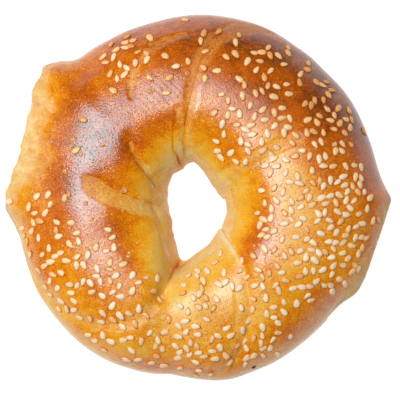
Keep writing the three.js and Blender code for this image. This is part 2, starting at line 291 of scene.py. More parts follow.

# Where it browned more or less, and a few painted highlights and shades: (around, over, spread around,
# spread over, how much).
BROWN_PATCHES = dict(
    north_east=(50, 37, 37, 32, 0.33),
    east_rim=(22, 24, 16, 18, 0.16),
    # Paler on the east crest: a painted highlight.
    east_crest_painted_highlight=(14, 90, 38, 14, -0.27),
    east=(338, 70, 26, 26, -0.15),
    east_inner=(340, 120, 26, 16, 0.17),
    east_throat=(38, 150, 26, 20, -0.12),
    north_east_inner=(58, 128, 20, 16, 0.14),
    south_lip=(266, 32, 28, 16, 0.14),
    south_west_band=(240, 42, 26, 20, -0.07),
    north_north_east=(68, 69, 15, 11, 0.1),
    north_crest=(78, 94, 15, 12, -0.08),
    north_inner=(113, 105, 16, 10, 0.09),
    east_shoulder=(9, 50, 9, 12, -0.09),
    west_crest=(160, 68, 22, 14, 0.1),
    south_east_outer=(303, 50, 30, 18, 0.08),
    north=(100, 62, 26, 26, 0.14),
    north_throat=(110, 138, 20, 18, -0.2),
    north_west=(142, 86, 26, 22, 0.14),
    north_west_shoulder=(139, 55, 15, 15, 0.16),
    north_west_rim=(118, 28, 16, 14, 0.1),
    north_rim=(98, 28, 26, 20, 0.13),
    north_west_seeds=(120, 60, 10, 14, -0.12),
    west=(180, 72, 22, 24, 0.1),
    west_inner=(205, 98, 18, 10, 0.1),
    west_base=(215, 14, 42, 16, -0.2),
    south=(270, 80, 50, 70, -0.17),
    # Paler on the south crest: a painted highlight.
    south_crest_painted_highlight=(268, 101, 18, 19, -0.25),
    joint=(237, 114, 15, 16, -0.2),
    south_east_crest=(302, 90, 16, 22, -0.07),
    south_rim=(290, 22, 20, 10, -0.12),
    south_shoulder=(264, 58, 7, 9, 0.1),
    south_west_shoulder=(248, 48, 7, 9, -0.08),
    south_west_outer=(226, 60, 9, 12, 0.08),
    south_south_east=(299, 60, 8, 10, -0.07),
    # Darker low in the hole's south wall: painted shade.
    south_throat_painted_shade=(277, 174, 28, 16, 0.14),
    south_east_flank=(323, 124, 9, 18, 0.17),
    # Darker on the hole's south-west wall: painted shade.
    south_west_throat_painted_shade=(219, 172, 16, 12, 0.35),
    south_east_lip=(313, 158, 12, 20, -0.12),
    west_torn=(160, 18, 22, 22, -0.36),
    west_throat=(182, 168, 16, 14, -0.16),
    east_torn=(336, 20, 20, 16, -0.14),
    east_side=(352, 34, 20, 10, 0.1),
)


def turn(a, b):
    """The turn from angle b to angle a, in degrees from -180 to 180."""
    return (a - b + 180) % 360 - 180


def smooth_step(x):
    t = np.clip(x, 0, 1)
    return t * t * (3 - 2 * t)


def lump_sum(lumps, around):
    return sum(rise * np.exp(-((turn(around, at) / spread) ** 2)) for at, spread, rise in lumps)


def wave_sum(waves, around, over):
    return sum(
        rise * np.sin(np.radians(waves_around * around + waves_over * over + phase))
        for waves_around, waves_over, phase, rise in waves)


def mound(around, over, at_around, at_over, wide, tall):
    """A soft mound on the skin, 1 high in its middle."""
    return np.exp(-((turn(around, at_around) / wide) ** 2) - (turn(over, at_over) / tall) ** 2)


def past_base(over):
    """Angles over the rope from -90 to 270, so that a line over it runs on past the outer waist."""
    return np.where(over > 270, over - 360, over)


def ring_radius(points):
    """How far points lie from the ring's centre, as seen from above."""
    return np.hypot(points[:, 0] - RING_SHIFT[0], points[:, 1] - RING_SHIFT[1])


def kiss_swell(kiss, around):
    """How far a kissed side swells out, before its flat face is pressed."""
    (first, first_rise), (last, last_rise) = kiss["lips"]
    along = turn(around, first) / (last - first)
    past = np.maximum(np.maximum(-along, along - 1), 0) * (last - first)
    rise = first_rise + (last_rise - first_rise) * np.clip(along, 0, 1)
    return rise * np.exp(-((past / LIP_FALLOFF) ** 2))


def over_skin(degrees):
    """The millimetres of skin that an angle over the rope takes in."""
    return np.radians(degrees) * (CREST_HEIGHT / 2)


def groove(distance, half):
    """A groove's depth across it: deepest on its line, with broad shoulders."""
    return 1 / (1 + (distance / half) ** 2) ** 1.5


def beside_line(line, around, over, radius):
    """How far a point lies along a line over the rope, as a share, and beside it, in millimetres."""
    power = line["power"]
    way = (180 - over) / 180
    at = line["hole"] - line["sweep"] * np.sign(way) * np.abs(way) ** power
    slope = np.radians(line["sweep"]) * power * np.abs(way) ** (power - 1)
    distance = np.radians(turn(around, at)) * radius / np.hypot(1, slope * radius / ROPE_GIRTH_OVER)
    return way, distance


def fold_depth(fold, around, over, radius):
    way, distance = beside_line(fold, around, over, radius)
    shown = smooth_step((way - fold["start"]) / FOLD_SOFTNESS + 1)
    shown = shown * smooth_step((fold["stop"] - way) / FOLD_SOFTNESS + 1)
    depth = fold["depth"] * groove(distance, fold["half"]) * shown
    return np.where(np.abs(way - 0.5) > FOLD_RANGE, 0, depth)


def ledge_depth(around, over):
    """The ledge inside the hole, where the lower dough swells past the skin above it."""
    middle = (LEDGE["start"] + LEDGE["stop"]) / 2
    reach = (LEDGE["stop"] - LEDGE["start"]) / 2
    shown = smooth_step((reach - np.abs(turn(around, middle))) / LEDGE["softness"])
    return LEDGE["depth"] * groove(over_skin(over - LEDGE["over"]), LEDGE["half"]) * shown


def skin_point(around, over):
    """The plain skin's points at around and over, in millimetres."""
    around = np.asarray(around, float) % 360
    over = np.asarray(over, float) % 360
    outer = OUTER_RADIUS + lump_sum(OUTER_LUMPS, around)
    inner = HOLE_RADIUS + lump_sum(HOLE_LUMPS, around)
    crest = CREST_HEIGHT + lump_sum(CREST_LUMPS, around)
    middle = inner + CREST_ACROSS * (outer - inner)
    waist = WAIST_SHARE * crest

    cos = np.cos(np.radians(over))
    sin = np.sin(np.radians(over))
    wide = np.where(cos > 0, outer - middle, middle - inner)
    tall = np.where(sin > 0, crest - waist, waist + BASE_TRIM)
    square = np.where(sin > 0, TOP_SQUARENESS, BASE_SQUARENESS)
    size = (np.abs(cos) ** square + np.abs(sin) ** square) ** (-1 / square)
    radius = middle + wide * cos * size
    height = waist + tall * sin * size

    relief = sum(kiss_swell(kiss, around) for kiss in KISSES) * np.exp(-((turn(over, 0) / LIP_TALL) ** 2))
    relief = relief + wave_sum(SWELLS, around, over)
    for fold in FOLDS.values():
        relief = relief - fold_depth(fold, around, past_base(over), radius)
    relief = relief - ledge_depth(around, over)
    relief = relief * smooth_step(height / BASE_FADE)
    normal = np.hypot(cos / wide, sin / tall)
    radius = radius + relief * cos / wide / normal
    height = height + relief * sin / tall / normal

    x = radius * np.cos(np.radians(around))
    y = radius * np.sin(np.radians(around))
    for kiss in KISSES:
        facing_x = math.cos(math.radians(kiss["facing"]))
        facing_y = math.sin(math.radians(kiss["facing"]))
        beyond = x * facing_x + y * facing_y - kiss["reach"]
        press = (beyond + np.hypot(beyond, KISS_SOFTNESS)) / 2
        x = x - press * facing_x
        y = y - press * facing_y
    return np.stack([x + RING_SHIFT[0], y + RING_SHIFT[1], np.maximum(0, height)], axis=-1)


def evening(around, over):
    """How far the skin is raised to make the crest even, and to fit its shoulders and edges."""
    evened = lump_sum(EVENING_LUMPS, around) - EVENED_SWELLS * wave_sum(SWELLS, around, over)
    shaped = sum(rise * mound(around, over, *place) for *place, rise in SHOULDERS + HOLE_FITS + RIM_FITS)
    return np.exp(-((turn(over, 90) / EVENING_TALL) ** 2)) * evened + shaped


def bridging(around, over, radius):
    """How far the fine skin bridges the folds and the ledge."""
    folds = sum(
        (1 - fold["kept"]) * fold_depth(fold, around, past_base(over), radius) for fold in FOLDS.values())
    return folds + (1 - LEDGE["kept"]) * ledge_depth(around, over)


def fine_relief(around, over, points):
    """How far the fine skin lies over the plain skin's points, in millimetres."""
    bridged = bridging(around, over, ring_radius(points))
    return evening(around, over) + bridged * smooth_step(points[:, 2] / BASE_FADE)


def unit(vectors):
    return vectors / np.linalg.norm(vectors, axis=-1, keepdims=True)


def skin_axes(around, over):
    """The directions along the ring, over the rope and out of the skin."""
    step = 0.6
    along = unit(skin_point(around + step, over) - skin_point(around - step, over))
    across = unit(skin_point(around, over + 2 * step) - skin_point(around, over - 2 * step))
    out = unit(np.cross(along, across))
    return along, np.cross(out, along), out


# ---- strewing


def make_draw(state):
    """A generator of draws from 0 to 1 that strews the seeds alike on every run."""
    full = 0xFFFFFFFF

    def draw():
        nonlocal state
        state = (state + 0x6D2B79F5) & full
        mixed = ((state ^ (state >> 15)) * (state | 1)) & full
        mixed = ((mixed + (mixed ^ (mixed >> 7)) * (mixed | 61)) & full) ^ mixed
        return (mixed ^ (mixed >> 14)) / (full + 1)

    return draw


def strew_seeds():
    """Throws each field's seeds in turn, and keeps those that land clear of the ones that lie there."""
    draw = make_draw(DRAW_SEED)
    seeds = []
    places = np.empty((0, 3))
    for field_around, field_over, wide, tall, count in SEED_FIELDS.values():
        landed = 0
        for _ in range(count * TRIES_PER_SEED):
            if landed == count:
                break
            around = field_around + wide * (draw() + draw() - 1)
            over = field_over + tall * (draw() + draw() - 1)
            spin = 2 * math.pi * draw()
            size = 1 + SEED_SIZE_SPREAD * (2 * draw() - 1)
            lean_along = SEED_TILT * (2 * draw() - 1)
            lean_across = SEED_TILT * (2 * draw() - 1)
            place = skin_point(around, over)
            if len(places) and np.linalg.norm(places - place, axis=1).min() < SEED_GAP:
                continue
            places = np.vstack([places, place])
            seeds.append((around, over, spin, size, lean_along, lean_across))
            landed += 1
    return np.array(seeds), places


def seed_axes(seeds):
    """Each seed's own directions: towards its pointed end, and out of its back."""
    around, over, spin, _, lean_along, lean_across = seeds.T
    along, across, out = skin_axes(around, over)
    turned = lambda a, b, angle: a * np.cos(angle)[:, None] + b * np.sin(angle)[:, None]
    side = turned(along, across, spin)
    point = turned(across, -along, spin)
    point, up = turned(point, out, lean_along), turned(out, -point, lean_along)
    up = turned(up, side, lean_across)
    return unit(point), unit(up)


# ---- node helpers


def add_node(tree, kind, inputs=None, **settings):
    """A node of the tree, with its settings, and each input linked or set."""
    node = tree.nodes.new(kind)
    for name, value in settings.items():
        setattr(node, name, value)
    for name, value in (inputs or {}).items():
        if isinstance(value, bpy.types.NodeSocket):
            tree.links.new(value, node.inputs[name])
        else:
            node.inputs[name].default_value = value
    return node


def add(tree, kind, inputs=None, **settings):
    """The first output of a new node."""
    return add_node(tree, kind, inputs, **settings).outputs[0]


def calculate(tree, operation, *values):
    """One sum of the tree's numbers."""
    return add(tree, "ShaderNodeMath", dict(enumerate(values)), operation=operation)


def total(tree, first, *others):
    for other in others:
        first = calculate(tree, "ADD", first, other)
    return first


def product(tree, first, *others):
    for other in others:
        first = calculate(tree, "MULTIPLY", first, other)
    return first


def rescale(tree, value, low, high, to_low=0.0, to_high=1.0, kind="SMOOTHSTEP"):
    """The value, taken from low..high to to_low..to_high."""
    inputs = {0: value, 1: low, 2: high, 3: to_low, 4: to_high}
    return add(tree, "ShaderNodeMapRange", inputs, interpolation_type=kind)


def blend(tree, share, first, second):
    """A colour between two others."""
    inputs = {0: share, 6: first, 7: second}
    return add_node(tree, "ShaderNodeMix", inputs, data_type="RGBA").outputs[2]


def colour(red, green, blue):
    """A colour as a screen shows it, from 0 to 255, made linear."""
    def linear(c):
        c /= 255
        return c / 12.92 if c <= 0.04045 else ((c + 0.055) / 1.055) ** 2.4
    return (linear(red), linear(green), linear(blue), 1)


def colour_ramp(tree, value, stops):
    """The colour at the value, between stops of (value, red, green, blue)."""
    ramp = add_node(tree, "ShaderNodeValToRGB", {0: value})
    elements = ramp.color_ramp.elements
    for _ in range(len(stops) - 2):
        elements.new(0.5)
    for element, (place, *shade) in zip(elements, stops):
        element.position = place
        element.color = colour(*shade)
    return ramp.outputs[0]


def read_attribute(tree, name):
    return add_node(tree, "ShaderNodeAttribute", attribute_name=name).outputs["Fac"]


def millimetre_places(tree):
    """Object coordinates, in millimetres."""
    places = add_node(tree, "ShaderNodeTexCoord").outputs["Object"]
    return add(tree, "ShaderNodeMapping", {"Vector": places, "Scale": (1000, 1000, 1000)})


def noise(tree, places, size, detail=2.0, roughness=0.5):
    """Noise from 0 to 1, with lumps of about the size given, in millimetres."""
    inputs = {"Vector": places, "Scale": 1 / size, "Detail": detail, "Roughness": roughness}
    return add(tree, "ShaderNodeTexNoise", inputs)


def mottle(tree, places, size, low, high, detail=2.0, roughness=0.5, band=0.25):
    """Noise that runs evenly from low to high. The wider its band, the fewer the flat spots."""
    lumps = noise(tree, places, size, detail, roughness)
    return rescale(tree, lumps, 0.5 - band, 0.5 + band, low, high, "LINEAR")


def light_relief(tree, surface, height):
    """Relief, in millimetres, too fine for the mesh."""
    bump = add(tree, "ShaderNodeBump", {"Height": height, "Distance": MM, "Strength": 1.0})
    tree.links.new(bump, surface.inputs["Normal"])


def new_material(name, settings):
    """A material, its tree and its shader, with the shader's own settings made."""
    material = bpy.data.materials.new(name)
    material.use_nodes = True
    surface = material.node_tree.nodes["Principled BSDF"]
    for socket, value in settings.items():
        surface.inputs[socket].default_value = value
    return material, material.node_tree, surface


def new_object(name, data):
    thing = bpy.data.objects.new(name, data)
    bpy.context.collection.objects.link(thing)
    return thing


# ---- materials


def crust_material():
    """Baked dough: glossy brown glaze over most of it, and matt pale dough where it is bare."""
    finish = {"Specular IOR Level": 0.9, "Specular Tint": (0.5, 0.88, 1.0, 1)}
    material, tree, surface = new_material("baked_crust", finish)
    places = millimetre_places(tree)
    brown, bare, pale, near, dark, torn, dull = (
        read_attribute(tree, name)
        for name in ("brown", "bare", "pale", "near_seed", "dark", "torn", "dull"))

    # The glaze's edge is ragged.
    ragged = mottle(tree, places, size=2.2, low=-0.9, high=0.9, detail=3, band=0.2)
    bare_share = product(tree, rescale(tree, total(tree, bare, ragged), -0.4, 0.6), pale)

    # Mottling: broad clouds, mid-sized blotches, grain, and the pale dots of tiny blisters.
    clouds = mottle(tree, places, size=11, low=-0.09, high=0.09)
    blotches = mottle(tree, places, size=2.6, low=-0.08, high=0.08, detail=3)
    grain = mottle(tree, places, size=0.45, low=-0.14, high=0.14)
    cell_size = 0.85
    cells = add_node(tree, "ShaderNodeTexVoronoi", {"Vector": places, "Scale": 1 / cell_size})
    flecks = product(
        tree,
        rescale(tree, cells.outputs["Distance"], 0.14, 0.3, 1, 0),
        rescale(tree, cells.outputs["Color"], 0.4, 0.45),
        rescale(tree, noise(tree, places, size=5), 0.35, 0.6))

    # Dull glaze has more flecks and a stronger grain. Beside a seed the crust is darker: browner glaze and
    # painted contact shade.
    flecked = product(tree, flecks, calculate(tree, "MULTIPLY_ADD", dull, -0.3, -0.28))
    coarse = product(tree, grain, calculate(tree, "MULTIPLY_ADD", dull, 0.7, 1.0))
    # The creases' own value darkens the crust here as painted shade.
    browned = total(tree, brown, clouds, blotches, coarse, flecked, product(tree, near, 0.06), dark)
    glaze_colour = colour_ramp(tree, browned, [
        (0.0, 250, 222, 170), (0.2, 250, 205, 108), (0.38, 253, 185, 44), (0.52, 250, 158, 6),
        (0.66, 230, 120, 2), (0.8, 200, 92, 4), (0.92, 162, 78, 10), (1.0, 128, 62, 12)])

    # Bare dough is blotchier, and torn crumb is patchy and creamier.
    patchy = mottle(
        tree, places, size=2.6, low=-0.08, high=0.2, detail=5, roughness=0.65, band=0.15)
    # The creases' painted shade darkens bare dough too.
    bare_tone = total(
        tree, product(tree, brown, 0.85), dark, product(tree, blotches, 1.6), product(tree, torn, patchy),
        product(tree, grain, 1.7))
    bare_colour = colour_ramp(tree, bare_tone, [
        (0.0, 253, 235, 186), (0.3, 250, 205, 100), (0.55, 244, 162, 34), (0.8, 216, 118, 18),
        (1.0, 160, 82, 20)])
    bare_colour = blend(tree, product(tree, torn, 0.4), bare_colour, colour(250, 206, 150))
    tree.links.new(blend(tree, bare_share, glaze_colour, bare_colour), surface.inputs["Base Color"])

    gloss = mottle(tree, places, size=3.5, low=0.19, high=0.26, band=0.2)
    rough = total(tree, gloss, product(tree, bare_share, 0.42), product(tree, dull, 0.35))
    tree.links.new(rough, surface.inputs["Roughness"])

    # Fine wrinkles, deeper where the glaze is dull, and pores.
    depth = calculate(tree, "MULTIPLY_ADD", dull, 0.1, 0.07)
    wrinkles = product(tree, noise(tree, places, size=0.75, detail=3, roughness=0.6), depth)
    pores = rescale(tree, cells.outputs["Distance"], 0.0, 0.4, 0.05, 0)
    finest = product(tree, noise(tree, places, size=0.36, detail=1), 0.02)
    waves = product(tree, noise(tree, places, size=2.4), 0.02)
    light_relief(tree, surface, total(tree, wrinkles, pores, finest, waves))
    return material


def seed_material():
    """Hulled sesame: cream in the middle, toasted at the rim and the tip."""
    material, tree, surface = new_material("toasted_sesame", {"Roughness": 0.42})
    places = millimetre_places(tree)
    rim = calculate(tree, "POWER", read_attribute(tree, "rim"), 5.0)
    tip = rescale(tree, read_attribute(tree, "tip"), 0.55, 1.0, 0, 0.3)
    speckle = mottle(tree, places, size=0.5, low=-0.1, high=0.1, band=0.2)
    tone = total(tree, read_attribute(tree, "toast"), speckle, product(tree, rim, 0.4), tip)
    shade = colour_ramp(tree, tone, [
        (0.0, 255, 243, 216), (0.35, 255, 224, 178), (0.6, 252, 190, 116), (0.85, 236, 150, 66),
        (1.0, 208, 118, 44)])
    tree.links.new(shade, surface.inputs["Base Color"])
    light_relief(tree, surface, product(tree, noise(tree, places, size=0.35), 0.03))
    return material


def blister_material():
    """Thick glaze, set glossy and amber."""
    material, tree, surface = new_material("set_glaze", {"Roughness": 0.22})
    cloud = noise(tree, millimetre_places(tree), size=0.8)
    shade = colour_ramp(tree, cloud, [(0.3, 196, 104, 30), (0.7, 246, 190, 120)])
    tree.links.new(shade, surface.inputs["Base Color"])
    return material


def crumb_material():
    """Ragged bits of glaze, honey to cream, and one that is charred."""
    material, tree, surface = new_material("baked_crumbs", {"Roughness": 0.5})
    cloud = noise(tree, millimetre_places(tree), size=0.9)
    honey = colour_ramp(tree, cloud, [(0.3, 232, 160, 84), (0.7, 252, 222, 170)])
    shade = blend(tree, read_attribute(tree, "char"), honey, colour(52, 36, 28))
    tree.links.new(shade, surface.inputs["Base Color"])
    return material


# ---- the dough


def brown_at(around, over):
    """How brown the crust is, from the rope's section and from its patches."""
    brown = np.interp(turn(over, 0), BROWN_OVER, BROWN)
    for *place, more in BROWN_PATCHES.values():
        brown = brown + more * mound(around, over, *place)
    return brown


def strip_inside(strip, around, over, radius):
    """How far inside a bare strip a point lies, in millimetres, and less than 0 outside it."""
    way, distance = beside_line(strip, around, over, radius)
    along = np.clip((way - strip["start"]) / (strip["stop"] - strip["start"]), 0, 1)
    wide = strip["wide"][0] + (strip["wide"][1] - strip["wide"][0]) * along
    short = wide / 2 - np.minimum(way - strip["start"], strip["stop"] - way) * ROPE_GIRTH_OVER
    return wide / 2 - np.hypot(distance - strip["beside"], np.maximum(short, 0))


def torn_inside(side, around, over):
    """How far inside a torn side a point lies, in millimetres."""
    along = turn(around, side["start"]) / (side["stop"] - side["start"])
    tall = np.sqrt(1 - np.abs(2 * np.clip(along, 0, 1) - 1) ** TORN_BLUNTNESS)
    low, middle, high = side["reach"]
    sideways = np.radians(np.minimum(along, 1 - along) * (side["stop"] - side["start"])) * OUTER_RADIUS
    upwards = over_skin(middle + (high - middle) * tall - turn(over, 0))
    downwards = over_skin(turn(over, 0) - middle - (low - middle) * tall)
    return np.minimum(np.minimum(sideways, upwards), downwards)


def patches_at(patches, around, over):
    """How strongly the nearest patch shows at each point."""
    most = np.zeros(around.shape)
    for *place, strength in patches:
        most = np.maximum(most, strength * mound(around, over, *place))
    return most


def band_inside(band, over):
    """How far inside a band right round the ring a point lies, in millimetres."""
    return over_skin(np.minimum(over - band["start"], band["stop"] - over))


def bare_dough(around, over, radius):
    """How far inside bare dough each point lies, in millimetres, and how bare the dough is there."""
    inside = np.full(around.shape, -np.inf)
    pale = np.zeros(around.shape)
    zones = [
        (strip_inside(strip, around, past_base(over), radius), strip["pale"]) for strip in STRIPS.values()]
    zones += [(band_inside(band, over), band["pale"]) for band in BARE_BANDS.values()]
    edge_pale, more_pale, way_in = TORN_PALE
    for side in TORN_SIDES.values():
        depth = torn_inside(side, around, over) + wave_sum(RAGGED_WAVES, around, over)
        zones.append((depth, edge_pale + more_pale * smooth_step(depth / way_in)))
    worn = patches_at(WORN_PATCHES, around, over)
    zones.append((WORN["unworn"] + (WORN["worn"] - WORN["unworn"]) * worn, WORN["pale"]))
    for depth, share in zones:
        pale = np.where(depth > inside, share, pale)
        inside = np.maximum(inside, depth)
    return inside, pale


def start_tree(name, sizes):
    """A modifier's tree, with its sizes, in millimetres, and a material as its inputs."""
    tree = bpy.data.node_groups.new(name, "GeometryNodeTree")
    tree.is_modifier = True

    def socket(name, kind, way="INPUT"):
        return tree.interface.new_socket(name, in_out=way, socket_type="NodeSocket" + kind)

    socket("Geometry", "Geometry")
    for size, value in sizes.items():
        socket(size, "Float").default_value = value * MM
    socket("Material", "Material")
    socket("Geometry", "Geometry", "OUTPUT")
    return tree, add_node(tree, "NodeGroupInput").outputs


def end_tree(tree, shape, material):
    real = add(tree, "GeometryNodeRealizeInstances", {0: shape})
    painted = add(tree, "GeometryNodeSetMaterial", {0: real, "Material": material})
    add_node(tree, "NodeGroupOutput", {0: painted})


def read_named(tree, name, kind):
    return add(tree, "GeometryNodeInputNamedAttribute", {"Name": name}, data_type=kind)


def scale_vector(tree, vector, by):
    return add(tree, "ShaderNodeVectorMath", {0: vector, "Scale": by}, operation="SCALE")


def crust_relief_tree():
    """Relief that follows the skin: pimples all over, and crumb where a side is torn."""
    tree, given = start_tree("crust_relief", RELIEF_SIZES)
    place = add(tree, "GeometryNodeInputPosition")

    def lumps(size, detail):
        inputs = {"Vector": place, "Scale": calculate(tree, "DIVIDE", 1, size), "Detail": detail}
        return add(tree, "ShaderNodeTexNoise", inputs)

    pimples = calculate(tree, "SUBTRACT", lumps(given["Pimple Size"], 2), PIMPLES_SUNK)
    pimples = product(tree, pimples, given["Pimple Height"])
    torn = read_named(tree, "torn", "FLOAT")
    crumb = product(tree, lumps(given["Crumb Size"], 4), given["Crumb Depth"], torn)
    normal = add(tree, "GeometryNodeInputNormal")
    offset = scale_vector(tree, normal, calculate(tree, "SUBTRACT", pimples, crumb))
    moved = add(tree, "GeometryNodeSetPosition", {"Geometry": given["Geometry"], "Offset": offset})
    end_tree(tree, add(tree, "GeometryNodeSetShadeSmooth", {0: moved}), given["Material"])
    return tree


def run_tree(name, mesh, tree, material):
    """The mesh that a tree makes of another, as a plain object with no modifier."""
    source = new_object(name + "_source", mesh)
    modifier = source.modifiers.new(tree.name, "NODES")
    modifier.node_group = tree
    for item in tree.interface.items_tree:
        if item.name == "Material":
            modifier[item.identifier] = material
    made = bpy.data.meshes.new_from_object(source.evaluated_get(bpy.context.evaluated_depsgraph_get()))
    bpy.data.objects.remove(source)
    made.name = name
    return new_object(name, made)


def store(mesh, name, values, kind="FLOAT"):
    """Keeps one value for each vertex on the mesh, for a material or a tree to read."""
    attribute = mesh.attributes.new(name, kind, "POINT")
    field = "vector" if kind == "FLOAT_VECTOR" else "value"
    attribute.data.foreach_set(field, np.asarray(values, np.float32).ravel())


def ring_faces(steps_around, steps_over):
    """The four corners of each facet of a closed ring of points."""
    i, j = np.meshgrid(np.arange(steps_around), np.arange(steps_over), indexing="ij")
    i, j = i.ravel(), j.ravel()
    next_i, next_j = (i + 1) % steps_around, (j + 1) % steps_over
    return np.stack([i, next_i, next_i, i], 1) * steps_over + np.stack([j, j, next_j, next_j], 1)


def crease_depths(around, over, radius):
    """How deep the sharp creases are at each point, and how much painted shade they put there."""
    depth = np.zeros(around.shape)
    dark = np.zeros(around.shape)
    fade_in, fade_out = CREASE_ENDS
    for crease in CREASES.values():
        way, distance = beside_line(crease, around, over, radius)
        shown = smooth_step((way - crease["start"]) / fade_in)
        shown = shown * smooth_step((crease["stop"] - way) / fade_out)
        depth = depth + crease["depth"] * groove(distance, crease["half"]) * shown
        dark = dark + crease["dark"] * np.exp(-((distance / crease["half"] / CREASE_SHADE) ** 2)) * shown
    return depth, dark


def pleat_relief(around, over, radius):
    """Rows of pleats that sway as they run over the crest."""
    rows = np.radians(around) * radius / PLEATS["spacing"]
    sway = PLEATS["sway"] * np.sin(over / PLEATS["sway_over"])
    return PLEATS["rise"] * mound(around, over, *PLEATS["place"]) * np.sin(2 * np.pi * rows + sway)


def make_dough(seed_places):
    tube = np.linspace(0, 2 * np.pi, STEPS_OVER, endpoint=False)
    over_row = np.degrees(tube) + CREST_CROWDING * np.cos(tube)
    around_row = np.arange(STEPS_AROUND) * 360 / STEPS_AROUND
    around, over = (grid.ravel() for grid in np.meshgrid(around_row, over_row % 360, indexing="ij"))
    points = skin_point(around, over)
    _, _, out = skin_axes(around, over)
    radius = ring_radius(points)
    bare, pale = bare_dough(around, over, radius)
    torn = sum(
        side["rough"] * smooth_step(torn_inside(side, around, over) / TORN_EDGE)
        for side in TORN_SIDES.values())
    above = smooth_step(points[:, 2] / BASE_STILL)

    nearest = KDTree(len(seed_places))
    for index, place in enumerate(seed_places):
        nearest.insert(place, index)
    nearest.balance()
    gap = np.array([nearest.find(point)[2] for point in points])
    near = np.exp(-((gap / SEED_REACH) ** 2))

    crease, dark = crease_depths(around, past_base(over), radius)
    relief = fine_relief(around, over, points) + pleat_relief(around, past_base(over), radius) - crease
    relief = relief - BARE_SUNK * smooth_step(bare / BARE_SLOPE + 0.5) * (1 - torn)
    relief = relief + torn * lump_sum(TORN_WAVES, around)
    relief = relief - SEED_DENT * near
    points = points + out * (relief * above)[:, None]
    points[:, 2] = np.maximum(points[:, 2], 0)

    mesh = bpy.data.meshes.new("dough_ring")
    faces = ring_faces(STEPS_AROUND, STEPS_OVER)
    mesh.from_pydata((points * MM).tolist(), [], faces.tolist())
    kept = dict(
        brown=brown_at(around, over), dark=dark, bare=bare, pale=pale, torn=torn * above,
        dull=patches_at(DULL_PATCHES, around, over), near_seed=near)
    for name, values in kept.items():
        store(mesh, name, values)
    dough = run_tree("bagel_dough", mesh, crust_relief_tree(), crust_material())
    level_base(dough.data)
    return dough


def level_base(mesh):
    """Sets the flat base down on the table."""
    places = np.empty(len(mesh.vertices) * 3, np.float32)
    mesh.vertices.foreach_get("co", places)
    places[2::3][places[2::3] < BASE_LEVEL * MM] = 0
    mesh.vertices.foreach_set("co", places)
    mesh.update()


# ---- what is strewn on the dough


def strewing_tree(name, sizes, make_shape):
    """A tree that lays a shape on every point, by the point's own directions and size."""
    tree, given = start_tree(name, sizes)
    shape = add(tree, "GeometryNodeSetShadeSmooth", {0: make_shape(tree, given)})
    up, point, size = (read_named(tree, named, "FLOAT_VECTOR") for named in ("up", "point", "size"))
    turned = add(
        tree, "FunctionNodeAxesToRotation", {0: up, 1: point}, primary_axis="Z", secondary_axis="Y")
    laid = add(tree, "GeometryNodeInstanceOnPoints", {
        "Points": given["Geometry"], "Instance": shape, "Rotation": turned, "Scale": size})
    end_tree(tree, laid, given["Material"])
    return tree


def mark(tree, shape, name, value):
    """The shape, with a value kept on its points for the material."""
    inputs = {"Geometry": shape, "Name": name, "Value": value}
    return add(tree, "GeometryNodeStoreNamedAttribute", inputs, data_type="FLOAT", domain="POINT")


def move_points(tree, shape, x, y, z):
    place = add(tree, "ShaderNodeCombineXYZ", {0: x, 1: y, 2: z})
    return add(tree, "GeometryNodeSetPosition", {"Geometry": shape, "Position": place})


def seed_shape(tree, given):
    """A ball drawn out to a point at -Y, and flattened."""
    ball = add(tree, "GeometryNodeMeshUVSphere", {"Segments": 10, "Rings": 6, "Radius": 1.0})
    place = add(tree, "GeometryNodeInputPosition")
    x, y, z = add_node(tree, "ShaderNodeSeparateXYZ", {0: place}).outputs
    rim = calculate(tree, "SQRT", calculate(tree, "SUBTRACT", 1, product(tree, z, z)))
    tip = product(tree, y, -1)
    ball = mark(tree, mark(tree, ball, "rim", rim), "tip", tip)
    narrow = calculate(tree, "SUBTRACT", 1, product(tree, tip, SEED_NARROWING))
    drawn = calculate(tree, "POWER", calculate(tree, "MAXIMUM", tip, 0), 3)
    drawn = calculate(tree, "MULTIPLY_ADD", drawn, -2 * SEED_POINT, total(tree, y, SEED_POINT))
    half = lambda size: product(tree, given[size], 0.5)
    seed_x = product(tree, x, narrow, half("Width"))
    seed_y = product(tree, drawn, half("Length"))
    seed_z = product(tree, z, narrow, half("Thickness"))
    return move_points(tree, ball, seed_x, seed_y, seed_z)


def blister_shape(tree, given):
    """A popped blister of glaze: a raised ring round a low drop."""
    circle = add(tree, "GeometryNodeCurvePrimitiveCircle", {"Resolution": 18, "Radius": given["Ring"]})
    wall = add(tree, "GeometryNodeCurvePrimitiveCircle", {"Resolution": 8, "Radius": given["Wall"]})
    ring = add(tree, "GeometryNodeCurveToMesh", {"Curve": circle, "Profile Curve": wall})
    drop = add(tree, "GeometryNodeMeshUVSphere", {"Segments": 14, "Rings": 6, "Radius": given["Ring"]})
    flat = add(tree, "GeometryNodeTransform", {"Geometry": drop, "Scale": (0.9, 0.9, 0.3)})
    joined = add_node(tree, "GeometryNodeJoinGeometry")
    for shape in (ring, flat):
        tree.links.new(shape, joined.inputs[0])
    return joined.outputs[0]


def crumb_shape(tree, given):
    """A ragged bit of baked glaze."""
    lumps_per_metre = 900.0
    least, ragged = 0.3, 1.4
    ball = add(tree, "GeometryNodeMeshIcoSphere", {"Subdivisions": 2, "Radius": given["Crumb"]})
    place = add(tree, "GeometryNodeInputPosition")
    lump = add(tree, "ShaderNodeTexNoise", {"Vector": place, "Scale": lumps_per_metre, "Detail": 2.0})
    moved = scale_vector(tree, place, calculate(tree, "MULTIPLY_ADD", lump, ragged, least))
    return add(tree, "GeometryNodeSetPosition", {"Geometry": ball, "Position": moved})


def make_strewn(name, tree, material, places, up, point, shapes, **values):
    """Lays a tree's shape on every place, in millimetres, with its directions and its own size."""
    mesh = bpy.data.meshes.new(name + "_places")
    mesh.from_pydata((places * MM).tolist(), [], [])
    for value, of_each in dict(up=up, point=point, size=shapes).items():
        store(mesh, value, of_each, "FLOAT_VECTOR")
    for value, of_each in values.items():
        store(mesh, value, of_each)
    return run_tree(name, mesh, tree, material)


